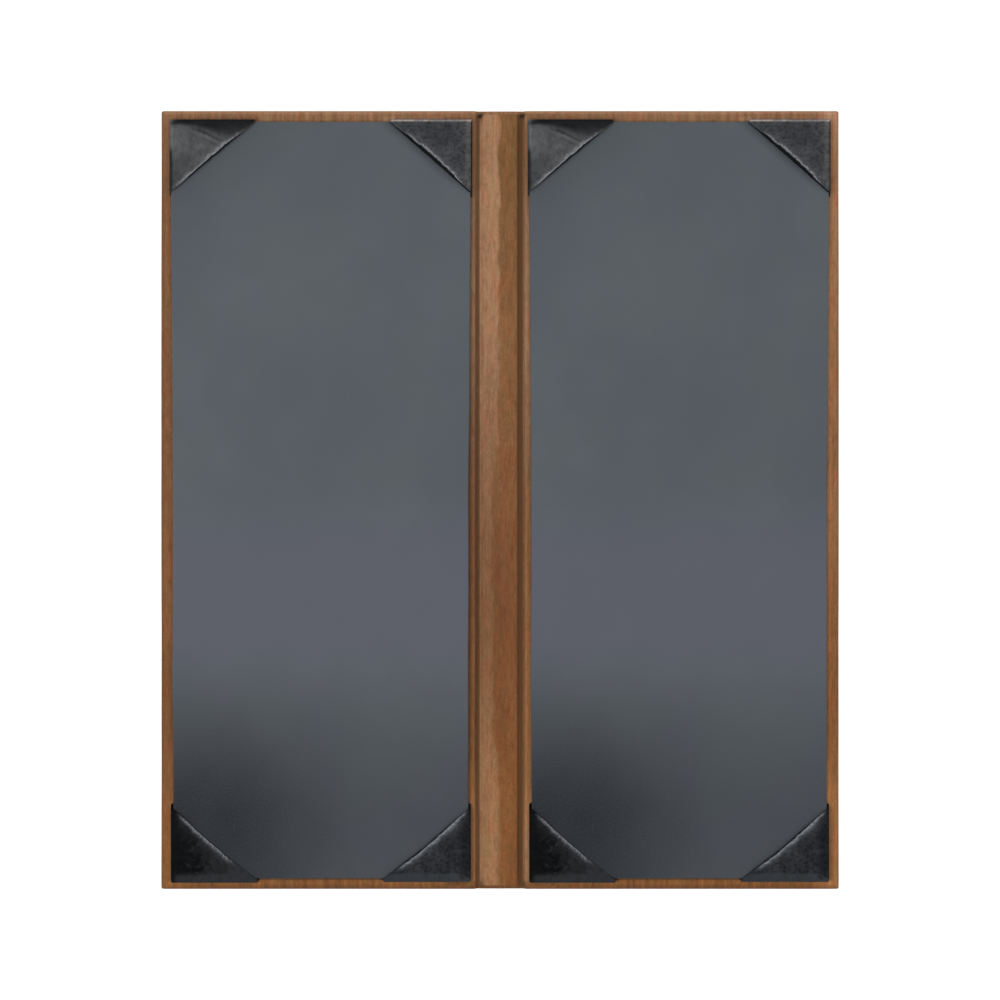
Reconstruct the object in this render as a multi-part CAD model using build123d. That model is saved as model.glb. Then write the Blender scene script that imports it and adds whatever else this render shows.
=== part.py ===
from build123d import *
import os

# Menu cover, open flat with its inside facing up.
# A case-made cover: two stiff boards and a soft spine are wrapped in one sheet of
# wood-look leatherette, an inner strip of the same sheet lines the hinge, and a covered
# panel with four corner pockets is glued inside each board to hold a menu sheet.
# Millimetres. +X right, +Y towards the head of the menu, +Z up out of the inside face.
# Origin: centre of the underside of the spine. The front cover is on -X, the back on +X.

# ---------------------------------------------------------------- driving dimensions
SHEET_W = 107.95          # menu sheet that slides into the pockets, 4.25 in
SHEET_H = 279.4           # 11 in

COVER_T = 0.45            # wood-look leatherette
OPEN_W = 252.5            # width of the open cover
COVER_H = 290.0           # height of the cover
COVER_CORNER_R = 1.5      # outer corners of the wrapped board
COVER_EDGE_R = 0.4        # softened rim of the wrapped board
BOARD_T = 2.05            # cover board
TURN_IN = 15.0            # width of the leatherette folded over the board's edges

SPINE_HALF = 6.7          # half the width of the spine between its grooves
GROOVE = 2.3              # width of each hinge groove
SPINE_BOARD_T = 0.5       # thin card that stiffens the spine
STRIP_END = 1.2           # the inner strip stops this far short of head and tail
STRIP_WING = 12.0         # width of the strip's wing on each board, under the panel

PANEL_X = 66.65           # middle of each panel from the middle of the spine
PANEL_W = 110.0           # panel over its lining: the sheet and 2 mm
PANEL_H = 281.4
PANEL_BOARD_T = 1.1
LINING_T = 0.25           # thin sheet that covers the panel
LINING_TURN_IN = 12.0

POCKET_T = 0.4            # black leatherette of the corner pockets
POCKET_X = 32.0           # leg of the pocket's triangle along the panel's short side
POCKET_Y = 28.5           # leg along the long side
POCKET_TAB = 12.0         # part of the pocket glued to the back of the panel
POCKET_CORNER_R = 0.8
POCKET_EASE = 0.3         # slack between the panel's edge and the pocket's side wall
SLOT = 0.4                # gap between lining and pocket, for the menu sheet

HINGE_Z = 0.7             # height of the fold line in the groove

# ---------------------------------------------------------------- levels and edges
half_w = OPEN_W / 2
half_h = COVER_H / 2
edge_x = SPINE_HALF + GROOVE              # hinge edge of each cover
hinge_x = SPINE_HALF + GROOVE / 2         # fold line
z_board = COVER_T
z_turn = z_board + BOARD_T                # underside of the turn-ins
z_inside = z_turn + COVER_T               # inside face of the cover, where the panel lies
z_spine = COVER_T + SPINE_BOARD_T + COVER_T

lx1 = PANEL_X + PANEL_W / 2               # lining's edges, on the +X cover
lx0 = PANEL_X - PANEL_W / 2
ly1 = PANEL_H / 2
px1 = lx1 + POCKET_EASE + POCKET_T        # outer corner of the pockets
py1 = ly1 + POCKET_EASE + POCKET_T
z_tab = z_inside                          # pocket tabs
z_lining = z_tab + POCKET_T               # lining's turn-ins
z_panel = z_lining + LINING_T             # panel board
z_face = z_panel + PANEL_BOARD_T
z_top = z_face + LINING_T                 # face of the lining
z_flap = z_top + SLOT                     # underside of the pocket's flap
z_high = z_flap + POCKET_T

assert z_spine < HINGE_Z + GROOVE / 2, "the cover's edge would hit the spine when it closes"
assert PANEL_W > SHEET_W and PANEL_H > SHEET_H
assert px1 < half_w - 1 and py1 < half_h - 1 and lx0 - POCKET_EASE - POCKET_T > edge_x + 0.5


def block(x0, x1, y0, y1, z0, z1):
    return Pos((x0 + x1) / 2, (y0 + y1) / 2, (z0 + z1) / 2) * Box(x1 - x0, y1 - y0, z1 - z0)


def slab(x0, x1, y, z0, z1, r, both=False):
    """Flat block symmetric about y = 0, its vertical edges rounded at x1, or at both ends."""
    b = block(x0, x1, -y, y, z0, z1)
    ends = [e for e in b.edges().filter_by(Axis.Z) if both or e.center().X > (x0 + x1) / 2]
    return fillet(ends, r)


# ---------------------------------------------------------------- cover, +X side
def cover_board():
    return slab(edge_x + COVER_T, half_w - COVER_T, half_h - COVER_T, z_board, z_turn, COVER_CORNER_R - COVER_T)


def strip_wing():
    """The inner strip where it climbs the board's hinge edge and lies on the board."""
    y = half_h - STRIP_END
    wall = block(edge_x, edge_x + COVER_T, -y, y, z_board, z_inside)
    wing = block(edge_x, edge_x + STRIP_WING, -y, y, z_turn, z_inside)
    both = wall + wing
    rim = [e for e in both.edges().filter_by(Axis.Y) if abs(e.center().X - edge_x) < 1e-3 and abs(e.center().Z - z_inside) < 1e-3]
    return fillet(rim, COVER_EDGE_R)


def cover_wrap():
    """Outer face, three wrapped edges and their turn-ins, open on the hinge side."""
    shell = slab(edge_x, half_w, half_h, 0, z_inside, COVER_CORNER_R)
    rim = [
        e
        for e in shell.edges()
        if (abs(e.center().Z) < 1e-3 or abs(e.center().Z - z_inside) < 1e-3)
        and not abs(e.center().X - edge_x) < 1e-3
    ]
    shell = fillet(rim, COVER_EDGE_R)
    shell -= cover_board()
    shell -= block(edge_x - 1, half_w - TURN_IN, -(half_h - TURN_IN), half_h - TURN_IN, z_turn, z_inside + 1)
    y = half_h - STRIP_END
    shell -= block(edge_x - 1, edge_x + COVER_T, -y, y, z_board, z_inside + 1)
    shell -= block(edge_x - 1, edge_x + STRIP_WING, -y, y, z_turn, z_inside + 1)
    return shell


# ---------------------------------------------------------------- panel, +X side
def panel_board():
    e = LINING_T
    return slab(lx0 + e, lx1 - e, ly1 - e, z_panel, z_face, 0.4, both=True)


def panel_lining():
    sheet = slab(lx0, lx1, ly1, z_lining, z_top, 0.6, both=True)
    sheet -= panel_board()
    w = LINING_TURN_IN
    sheet -= block(lx0 + w, lx1 - w, -(ly1 - w), ly1 - w, z_lining - 1, z_panel)
    return sheet


def pocket():
    """Corner pocket at the corner (px1, py1): a triangular flap over the panel, a side
    wall round the two panel edges, and a tab glued to the back of the panel."""
    outline = Polyline((px1, py1), (px1 - POCKET_X, py1), (px1, py1 - POCKET_Y), close=True)
    body = extrude(Plane.XY.offset(z_tab) * make_face(outline), z_high - z_tab)
    corner = [e for e in body.edges().filter_by(Axis.Z) if abs(e.center().X - px1) < 1e-3 and abs(e.center().Y - py1) < 1e-3]
    body = fillet(corner, POCKET_CORNER_R)
    inside = block(px1 - 2 * POCKET_X, px1 - POCKET_T, py1 - 2 * POCKET_Y, py1 - POCKET_T, z_lining, z_flap)
    keep = [e for e in inside.edges().filter_by(Axis.Z) if e.center().X > px1 - 1 and e.center().Y > py1 - 1]
    body -= fillet(keep, 0.6)
    body -= block(px1 - 2 * POCKET_X, px1 - POCKET_TAB, py1 - 2 * POCKET_Y, py1 - POCKET_TAB, z_tab - 1, z_lining)
    return body


# ---------------------------------------------------------------- spine
def spine_board():
    return block(-(SPINE_HALF - COVER_T), SPINE_HALF - COVER_T, -(half_h - COVER_T), half_h - COVER_T, COVER_T, COVER_T + SPINE_BOARD_T)


def spine_lining_strip():
    y = half_h - STRIP_END
    strip = block(-SPINE_HALF, SPINE_HALF, -y, y, COVER_T, z_spine)
    rim = [e for e in strip.edges().filter_by(Axis.Y) if abs(e.center().Z - z_spine) < 1e-3]
    return fillet(rim, COVER_EDGE_R) - spine_board()


def spine_outer_wrap():
    """Outer face of the spine with its folded head and tail."""
    wrap = block(-SPINE_HALF, SPINE_HALF, -half_h, half_h, 0, z_spine)
    rim = [e for e in wrap.edges().filter_by(Axis.X)]
    wrap = fillet(rim, COVER_EDGE_R)
    y = half_h - STRIP_END
    wrap -= block(-SPINE_HALF - 1, SPINE_HALF + 1, -y, y, COVER_T, z_spine + 1)
    return wrap - spine_board()


def hinge_fold():
    """The flexible part of the case in the groove, where wrap and strip are glued together."""
    x0, x1, xm = SPINE_HALF, edge_x, hinge_x
    low = ThreePointArc((x0, 0, 0.05), (xm, 0, 0.2), (x1, 0, 0.05))
    rise = Line((x1, 0, 0.05), (x1, 0, 1.45))
    top = ThreePointArc((x1, 0, 1.45), (xm, 0, 0.85), (x0, 0, 1.25))
    fall = Line((x0, 0, 1.25), (x0, 0, 0.05))
    face = make_face([low, rise, top, fall])
    y = half_h - 0.4
    a = extrude(face, y, dir=(0, 1, 0))
    b = extrude(face, y, dir=(0, -1, 0))
    return a + b


def other_side(shape):
    return mirror(shape, about=Plane.YZ)


parts = {}
parts["spine_board"] = spine_board()
parts["spine_outer_wrap"] = spine_outer_wrap()
parts["spine_lining_strip"] = spine_lining_strip()
parts["back_hinge_fold"] = hinge_fold()
parts["front_hinge_fold"] = other_side(hinge_fold())

# the pocket at (px1, py1) carried to the other three corners of the same panel
top_right = pocket()
pockets = {
    "top_right": top_right,
    "bottom_right": mirror(top_right, about=Plane.XZ),
    "top_left": mirror(top_right, about=Plane.YZ.offset(PANEL_X)),
    "bottom_left": Pos(PANEL_X, 0, 0) * Rot(0, 0, 180) * Pos(-PANEL_X, 0, 0) * top_right,
}
for place, shape in pockets.items():
    parts["back_pocket_" + place] = shape
    parts["front_pocket_" + place] = Pos(-2 * PANEL_X, 0, 0) * shape

for name, shape in {
    "cover_board": cover_board(),
    "cover_wrap": cover_wrap(),
    "hinge_strip_wing": strip_wing(),
    "panel_board": panel_board(),
    "panel_lining": panel_lining(),
}.items():
    parts["back_" + name] = shape
    parts["front_" + name] = other_side(shape)

os.makedirs("parts", exist_ok=True)
for name in sorted(parts):
    shape = parts[name]
    export_step(shape, f"parts/{name}.step")
    bb = shape.bounding_box()
    print(f"{name:28s} {shape.volume / 1000:8.3f} cm3  {bb.min.X:8.2f} {bb.min.Y:8.2f} {bb.min.Z:6.2f}  {bb.max.X:8.2f} {bb.max.Y:8.2f} {bb.max.Z:6.2f}")
print(f"hinge lines at x = +-{hinge_x:.3f}, z = {HINGE_Z:.3f}; height {z_high:.2f}")
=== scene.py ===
import math

import bpy
import numpy as np
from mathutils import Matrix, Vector


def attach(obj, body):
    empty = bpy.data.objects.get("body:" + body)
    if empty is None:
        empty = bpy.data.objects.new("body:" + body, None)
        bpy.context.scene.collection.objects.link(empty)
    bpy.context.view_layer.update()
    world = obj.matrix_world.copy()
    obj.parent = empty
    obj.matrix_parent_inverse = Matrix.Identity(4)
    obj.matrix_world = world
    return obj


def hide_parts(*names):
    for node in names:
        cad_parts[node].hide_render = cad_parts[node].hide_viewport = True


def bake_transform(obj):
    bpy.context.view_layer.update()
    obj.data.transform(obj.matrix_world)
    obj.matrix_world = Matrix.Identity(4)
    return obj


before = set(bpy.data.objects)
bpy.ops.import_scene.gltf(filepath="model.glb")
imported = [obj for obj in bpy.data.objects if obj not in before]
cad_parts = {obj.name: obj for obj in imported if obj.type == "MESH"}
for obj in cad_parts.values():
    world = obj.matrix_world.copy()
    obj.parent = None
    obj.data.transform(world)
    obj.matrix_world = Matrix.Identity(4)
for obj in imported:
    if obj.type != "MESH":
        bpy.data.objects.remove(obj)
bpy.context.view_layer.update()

# ============================================================ sizes, in millimetres
HALF_W, HALF_H = 126.25, 145.0        # open cover
CORNER_R = 0.8
LEATHER = 0.45
TURN_IN = 15.0
Z_TURN, Z_INSIDE = 2.5, 2.95          # turn-ins, from the board's face up
STRIP_X, STRIP_Y = 21.0, 143.8        # inner hinge strip
CARD_X = 6.25
PANEL_X = 66.65                       # middle of each panel
LINING_X, LINING_Y = 55.0, 140.7      # half sizes of the covered panel
Z_PANEL_BOARD, Z_PANEL_FACE, Z_LINING = 3.6, 4.7, 4.95
LINING_T = 0.25
POCKET_T = 0.4


# ============================================================ smooth noise on arrays
def _hash(i, j, k, seed):
    n = (i * 374761393 + j * 668265263 + k * 2147483647 + seed * 1274126177) & 0xFFFFFFFF
    n = ((n ^ (n >> 13)) * 1274126177) & 0xFFFFFFFF
    n = ((n ^ (n >> 16)) * 2246822519) & 0xFFFFFFFF
    return ((n ^ (n >> 15)) & 0xFFFFFF) / float(0xFFFFFF) * 2 - 1


def noise(x, y, seed=0):
    """Smooth value noise from -1 to 1 on two arrays of coordinates."""
    x, y = np.broadcast_arrays(np.asarray(x, float), np.asarray(y, float))
    i, j = np.floor(x).astype(np.int64), np.floor(y).astype(np.int64)
    fx, fy = x - i, y - j
    fx, fy = fx**3 * (fx * (fx * 6 - 15) + 10), fy**3 * (fy * (fy * 6 - 15) + 10)
    a = _hash(i, j, 7, seed) * (1 - fx) + _hash(i + 1, j, 7, seed) * fx
    b = _hash(i, j + 1, 7, seed) * (1 - fx) + _hash(i + 1, j + 1, 7, seed) * fx
    return a * (1 - fy) + b * fy


def fractal(x, y, seed=0, octaves=3):
    total, size, weight = 0.0, 1.0, 1.0
    for o in range(octaves):
        total = total + noise(x * size, y * size, seed + 31 * o) * weight
        size, weight = size * 2.03, weight * 0.5
    return total


def smooth(a, b, x):
    t = np.clip((np.asarray(x, float) - a) / (b - a), 0, 1)
    return t * t * (3 - 2 * t)


# ============================================================ mesh building
class Shape:
    """A mesh put together from grids of points. Each corner of a face keeps its place on
    the flat sheet before folding (sheet_pos, in metres) and four masks (sheet_mask)."""

    def __init__(self):
        self.points, self.quads, self.sheet, self.masks, self.count = [], [], [], [], 0

    def grid(self, P, S, M=None, flip=False, closed=False):
        n, m = P.shape[:2]
        M = np.zeros((n, m, 4)) if M is None else M
        ids = np.arange(n * m).reshape(n, m)
        if closed:
            ids = np.vstack([ids, ids[:1]])
        q = np.stack([ids[:-1, :-1], ids[1:, :-1], ids[1:, 1:], ids[:-1, 1:]], -1).reshape(-1, 4)
        if flip:
            q = q[:, ::-1]
        self.sheet.append(S.reshape(-1, 3)[q])
        self.masks.append(M.reshape(-1, 4)[q])
        self.quads.append(q + self.count)
        self.points.append(P.reshape(-1, 3))
        self.count += n * m

    def strip(self, A, B, S, T, M=None, N=None, flip=False):
        """One row of faces between two lines of points."""
        M = np.zeros((len(A), 4)) if M is None else M
        N = M if N is None else N
        self.grid(np.stack([A, B], 1), np.stack([S, T], 1), np.stack([M, N], 1), flip)

    def build(self, name, material, mirror=False, angle=40, warp=None):
        P = np.concatenate(self.points)
        Q, S, M = np.concatenate(self.quads), np.concatenate(self.sheet), np.concatenate(self.masks)
        if warp is not None:
            P = warp(P)
        if mirror:
            P, S = P * [-1, 1, 1], S * [-1, 1, 1]
            Q, S, M = Q[:, ::-1], S[:, ::-1], M[:, ::-1]
        # points in one place become one point, and faces that fold to a line go
        _, first, back = np.unique(np.round(P / 2e-4).astype(np.int64), axis=0, return_index=True, return_inverse=True)
        P, Q = P[first], back.reshape(-1)[Q]
        keep = Q != np.roll(Q, -1, 1)
        crossed = (Q[:, 0] == Q[:, 2]) | (Q[:, 1] == Q[:, 3])
        size = keep.sum(1)
        good = (size >= 3) & ~crossed
        Q, S, M, keep, size = Q[good], S[good], M[good], keep[good], size[good]
        used, flat = np.unique(Q[keep], return_inverse=True)
        P = P[used]
        mesh = bpy.data.meshes.new(name)
        mesh.vertices.add(len(P))
        mesh.vertices.foreach_set("co", (P * 0.001).astype(np.float32).ravel())
        mesh.loops.add(len(flat))
        mesh.loops.foreach_set("vertex_index", flat.reshape(-1).astype(np.int32))
        start = np.concatenate([[0], np.cumsum(size)[:-1]]).astype(np.int32)
        mesh.polygons.add(len(size))
        mesh.polygons.foreach_set("loop_start", start)
        mesh.update(calc_edges=True)
        for key, kind, values, field in (
            ("sheet_pos", "FLOAT_VECTOR", S[keep] * 0.001, "vector"),
            ("sheet_mask", "FLOAT_COLOR", M[keep], "color"),
        ):
            a = mesh.attributes.new(key, kind, "CORNER")
            a.data.foreach_set(field, values.astype(np.float32).ravel())
        mesh.validate()
        mesh.shade_smooth()
        mesh.set_sharp_from_angle(angle=math.radians(angle))
        mesh.materials.append(material)
        o = bpy.data.objects.new(name, mesh)
        bpy.context.scene.collection.objects.link(o)
        return o


# ============================================================ shader nodes
def tone(*rgb):
    """Linear colour from display values out of 255."""
    return tuple(c / 3294.6 if c <= 10.31 else ((c / 255 + 0.055) / 1.055) ** 2.4 for c in rgb)


class Nodes:
    def __init__(self, name):
        self.material = bpy.data.materials.new(name)
        self.material.use_nodes = True
        self.tree = self.material.node_tree
        self.shader = next(n for n in self.tree.nodes if n.type == "BSDF_PRINCIPLED")
        self._sheet = None

    def new(self, kind, **settings):
        n = self.tree.nodes.new(kind)
        for k, v in settings.items():
            setattr(n, k, v)
        return n

    def put(self, socket, value):
        if isinstance(value, bpy.types.NodeSocket):
            self.tree.links.new(value, socket)
        elif value is not None:
            socket.default_value = value

    def set(self, **values):
        for k, v in values.items():
            self.put(self.shader.inputs[k.replace("_", " ")], v)

    def maths(self, what, a, b=None, c=None, clamp=False):
        n = self.new("ShaderNodeMath", operation=what, use_clamp=clamp)
        for s, v in zip(n.inputs, (a, b, c)):
            self.put(s, v)
        return n.outputs[0]

    def add(self, a, b):
        return self.maths("ADD", a, b)

    def mul(self, a, b):
        return self.maths("MULTIPLY", a, b)

    def sub(self, a, b):
        return self.maths("SUBTRACT", a, b)

    def span(self, x, a, b, lo=0.0, hi=1.0, how="SMOOTHSTEP"):
        n = self.new("ShaderNodeMapRange", interpolation_type=how, clamp=True) if how == "LINEAR" else self.new("ShaderNodeMapRange", interpolation_type=how)
        for s, v in zip(n.inputs, (x, a, b, lo, hi)):
            self.put(s, v)
        return n.outputs[0]

    def mix(self, share, a, b, how="MIX"):
        n = self.new("ShaderNodeMix", data_type="RGBA", blend_type=how, clamp_factor=True)
        self.put(n.inputs[0], share)
        for s, v in ((n.inputs[6], a), (n.inputs[7], b)):
            if isinstance(v, tuple) and len(v) == 3:
                v = (*v, 1.0)
            self.put(s, v)
        return n.outputs[2]

    def attribute(self, name):
        return self.new("ShaderNodeAttribute", attribute_name=name, attribute_type="GEOMETRY")

    def sheet(self):
        """Place on the flat sheet, in millimetres."""
        if self._sheet is None:
            a = self.attribute("sheet_pos")
            n = self.new("ShaderNodeVectorMath", operation="SCALE")
            self.put(n.inputs[0], a.outputs["Vector"])
            n.inputs["Scale"].default_value = 1000.0
            self._sheet = n.outputs[0]
        return self._sheet

    def masks(self):
        n = self.new("ShaderNodeSeparateColor")
        a = self.attribute("sheet_mask")
        self.put(n.inputs[0], a.outputs["Color"])
        return n.outputs[0], n.outputs[1], n.outputs[2]

    def xyz(self, v):
        n = self.new("ShaderNodeSeparateXYZ")
        self.put(n.inputs[0], v)
        return n.outputs

    def vector(self, x=0.0, y=0.0, z=0.0):
        n = self.new("ShaderNodeCombineXYZ")
        for s, v in zip(n.inputs, (x, y, z)):
            self.put(s, v)
        return n.outputs[0]

    def stretch(self, v, scale, shift=(0, 0, 0)):
        n = self.new("ShaderNodeMapping", vector_type="POINT")
        self.put(n.inputs["Vector"], v)
        n.inputs["Scale"].default_value = scale
        n.inputs["Location"].default_value = shift
        return n.outputs[0]

    def noise(self, v, size=1.0, detail=2.0, rough=0.5, distortion=0.0):
        """Value about 0.5. size is the number of features per unit of v."""
        n = self.new("ShaderNodeTexNoise")
        self.put(n.inputs["Vector"], v)
        n.inputs["Scale"].default_value = size
        n.inputs["Detail"].default_value = detail
        n.inputs["Roughness"].default_value = rough
        n.inputs["Distortion"].default_value = distortion
        return n.outputs["Fac"] if "Fac" in n.outputs else n.outputs[0]

    def cells(self, v, size=1.0, feature="F1", random=1.0, output="Distance"):
        n = self.new("ShaderNodeTexVoronoi", feature=feature)
        self.put(n.inputs["Vector"], v)
        n.inputs["Scale"].default_value = size
        n.inputs["Randomness"].default_value = random
        return n.outputs[output]

    def ramp(self, x, stops, how="LINEAR"):
        n = self.new("ShaderNodeValToRGB")
        n.color_ramp.interpolation = how
        e = n.color_ramp.elements
        while len(e) < len(stops):
            e.new(0.5)
        for k, (at, colour) in zip(e, stops):
            k.position, k.color = at, (*colour, 1.0)
        self.put(n.inputs[0], x)
        return n.outputs[0]

    def bump(self, height, distance, strength=1.0, normal=None):
        """distance in metres."""
        n = self.new("ShaderNodeBump")
        n.inputs["Strength"].default_value = strength
        n.inputs["Distance"].default_value = distance
        self.put(n.inputs["Height"], height)
        if normal is not None:
            self.put(n.inputs["Normal"], normal)
        return n.outputs[0]


# ------------------------------------------------------------ wood-look leatherette
def wood_leatherette(name, shift, inner):
    """Printed walnut grain on embossed leatherette, running from head to tail. The strip
    inside the spine is another cut of the sheet, with its own bands and pressed grooves."""
    k = Nodes(name)
    p = k.sheet()
    x, y, _ = k.xyz(p)
    # masks: rim carries a painted highlight, crease carries painted shade on the crease line and the lower rims, deep
    # carries painted shade in the grooves
    rim, crease, deep = k.masks()

    # the grain wanders a little, more at a few knots' distance than at each fibre
    wander = k.sub(k.noise(k.stretch(p, (0.030, 0.012, 0), shift), 1.0, 2), 0.5)
    wave = k.sub(k.noise(k.stretch(p, (0.12, 0.045, 0), shift), 1.0, 2), 0.5)
    gx = k.add(k.add(x, k.mul(wander, 9.0)), k.mul(wave, 1.6))
    g = k.vector(gx, y, 0.0)

    def grain(across, along, dx=0.0, detail=1, rough=0.5):
        return k.noise(k.stretch(g, (across, along, 1), (shift[0] + dx, shift[1] + dx * 0.3, 0)), 1.0, detail, rough)

    broad, bands, fibres = grain(0.13, 0.012, 0, 2), grain(0.42, 0.034, 3, 3, 0.6), grain(1.6, 0.13, 5, 2, 0.65)
    patch, fleck, block = grain(0.38, 0.075, 40, 2, 0.6), grain(0.75, 0.22, 61, 2, 0.6), grain(1.5, 0.85, 17, 1, 0.6)
    fine = grain(4.2, 0.55, 23, 1, 0.6)

    # the tone drifts from head to tail: paler at the head, redder and deeper towards the tail
    height = k.span(y, -165.0, 165.0, 0.0, 1.0, "LINEAR")

    def drifting(*stops):
        return k.ramp(height, [((at + 165.0) / 330.0, tone(*c)) for at, c in stops])

    border = drifting((-150, (121, 79, 44)), (-110, (130, 85, 48)), (20, (123, 82, 51)), (120, (125, 86, 57)), (148, (143, 104, 74)))
    if inner:
        # on the spine the left part is a paler, pinker board of the print, and the right a darker one
        left = drifting((-114, (149, 108, 75)), (-52, (119, 81, 52)), (26, (136, 98, 70)), (90, (158, 118, 88)))
        right = drifting((-114, (127, 81, 44)), (-55, (110, 69, 39)), (-22, (112, 71, 42)), (40, (130, 89, 57)), (130, (122, 86, 52)))
        dip = k.mul(k.span(y, 35.0, -5.0), k.span(y, -108.0, -85.0))
        seam = k.add(k.add(x, 0.55), k.add(k.mul(dip, 2.2), k.mul(k.sub(k.noise(k.stretch(p, (0.20, 0.075, 0), (5.0, 3.0, 0)), 1.0, 2), 0.5), 4.2)))
        seam = k.mul(seam, k.span(y, -92.0, -60.0, 0.42, 1.0))
        spine = k.mix(k.span(seam, -0.75, 0.75), left, right)
        spine = k.mix(k.mul(dip, k.span(seam, 0.0, 6.0, 0.0, 0.25)), spine, tone(134, 84, 50))
        wing = k.mix(k.mul(k.span(y, -10.0, 60.0), k.span(y, 138.0, 100.0, 0.0, 0.75)), border, k.mix(k.span(x, -6.0, 6.0), tone(142, 108, 82), tone(152, 118, 90)))
        on_front, on_back = k.span(x, 2.0, -2.0), k.span(x, -2.0, 2.0)
        wing = k.mix(k.mul(on_front, k.mul(k.span(y, 66.0, 36.0), k.span(y, -106.0, -92.0))), wing, (0.77, 0.78, 0.86), "MULTIPLY")
        wing = k.mix(k.mul(on_back, k.span(y, 62.0, 86.0)), wing, (0.89, 0.89, 0.85), "MULTIPLY")
        wing = k.mix(k.mul(on_back, k.span(y, 45.0, 12.0)), wing, (1.09, 1.19, 1.28), "MULTIPLY")
        wing = k.mix(k.mul(k.span(y, -98.0, -128.0), k.span(y, -142.6, -141.2)), wing, (1.45, 1.66, 2.15), "MULTIPLY")
        wood = k.mix(k.span(k.maths("ABSOLUTE", x), 7.6, 10.6), spine, wing)
    else:
        length = k.add(k.add(k.span(y, -52.0, 12.0, 0.0, 0.78), k.span(y, 30.0, 100.0, 0.0, 0.17)), k.span(y, -84.0, -124.0))
        wood = k.mix(k.mul(k.span(x, 116.0, 124.0), length), border, k.mix(1.0, border, (1.48, 1.58, 1.78), "MULTIPLY"))
        fore = k.span(x, -114.0, -121.0)
        low = k.mul(k.span(y, -42.0, -66.0), k.span(y, -104.0, -84.0))
        wood = k.mix(k.mul(fore, low), wood, k.mix(1.0, wood, (0.80, 0.78, 0.74), "MULTIPLY"))
        wood = k.mix(k.mul(fore, k.span(y, -104.0, -126.0)), wood, k.mix(1.0, wood, (1.24, 1.28, 1.18), "MULTIPLY"))
        # the borders carry painted light and shade: painted light beside the panels and pockets, where their shade
        # falls; painted shade on the front's fore rim, on the tail's rim and along the panel's lower edge; a painted
        # highlight on the head's rim, and the head's border a little darker inside it
        # painted light beside the back panel's fore side, where the panel's shade falls
        wood = k.mix(k.span(x, 130.9, 132.5), wood, (1.48, 1.52, 1.60), "MULTIPLY")
        # painted shade on the front cover's fore rim
        wood = k.mix(k.mul(k.span(x, -127.4, -128.2), k.span(x, -130.1, -129.6)), wood, (0.85, 0.83, 0.82), "MULTIPLY")
        # painted light over the tail's border, where the panel's shade falls
        wood = k.mix(k.mul(k.span(y, -148.2, -149.9), k.span(y, -151.3, -150.5)), wood, (1.22, 1.20, 1.16), "MULTIPLY")
        # painted shade on the tail's rim
        wood = k.mix(k.mul(k.span(y, -145.0, -146.5), k.span(y, -149.6, -148.0)), wood, (0.80, 0.81, 0.89), "MULTIPLY")
        # painted light on the tail's border beside the lower pockets, where their shade falls
        far = k.maths("ABSOLUTE", x)
        by_pocket = k.add(k.mul(k.span(far, 9.0, 12.0), k.span(far, 46.0, 42.0)), k.mul(k.span(far, 87.0, 91.0), k.span(far, 126.0, 123.0)))
        wood = k.mix(k.mul(by_pocket, k.span(y, -147.4, -148.4)), wood, (1.28, 1.26, 1.16), "MULTIPLY")
        # painted shadow line along the panel's lower edge
        wood = k.mix(k.span(y, -150.5, -151.2), wood, (0.60, 0.68, 0.95), "MULTIPLY")
        # painted highlight on the head's rim
        wood = k.mix(k.mul(k.span(y, 146.8, 147.5), k.span(y, 148.95, 148.60)), wood, (1.17, 1.18, 1.26), "MULTIPLY")
        wood = k.mix(k.span(y, 148.60, 148.95), wood, (0.93, 0.93, 0.90), "MULTIPLY")
        # painted light on the head's border beside the upper right pockets, where their shade falls
        by_pocket = k.add(k.mul(k.span(x, -46.0, -42.0), k.span(x, -9.0, -12.0)), k.mul(k.span(x, 87.0, 91.0), k.span(x, 124.0, 121.0)))
        wood = k.mix(k.mul(by_pocket, k.span(y, 148.9, 150.2)), wood, (1.30, 1.35, 1.60), "MULTIPLY")

    def tinted(colour, field, *stops):
        """Multiply by a tint that follows a noise field, with tints above one allowed."""
        top = max(max(c) for _, c in stops)
        tint = k.new("ShaderNodeVectorMath", operation="SCALE")
        k.put(tint.inputs[0], k.ramp(field, [(at, tuple(v / top for v in c)) for at, c in stops]))
        tint.inputs["Scale"].default_value = top
        return k.mix(1.0, colour, tint.outputs[0], "MULTIPLY")

    value = k.add(k.mul(broad, 0.24), k.add(k.mul(bands, 0.40), k.mul(fibres, 0.36)))
    if not inner:
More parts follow.
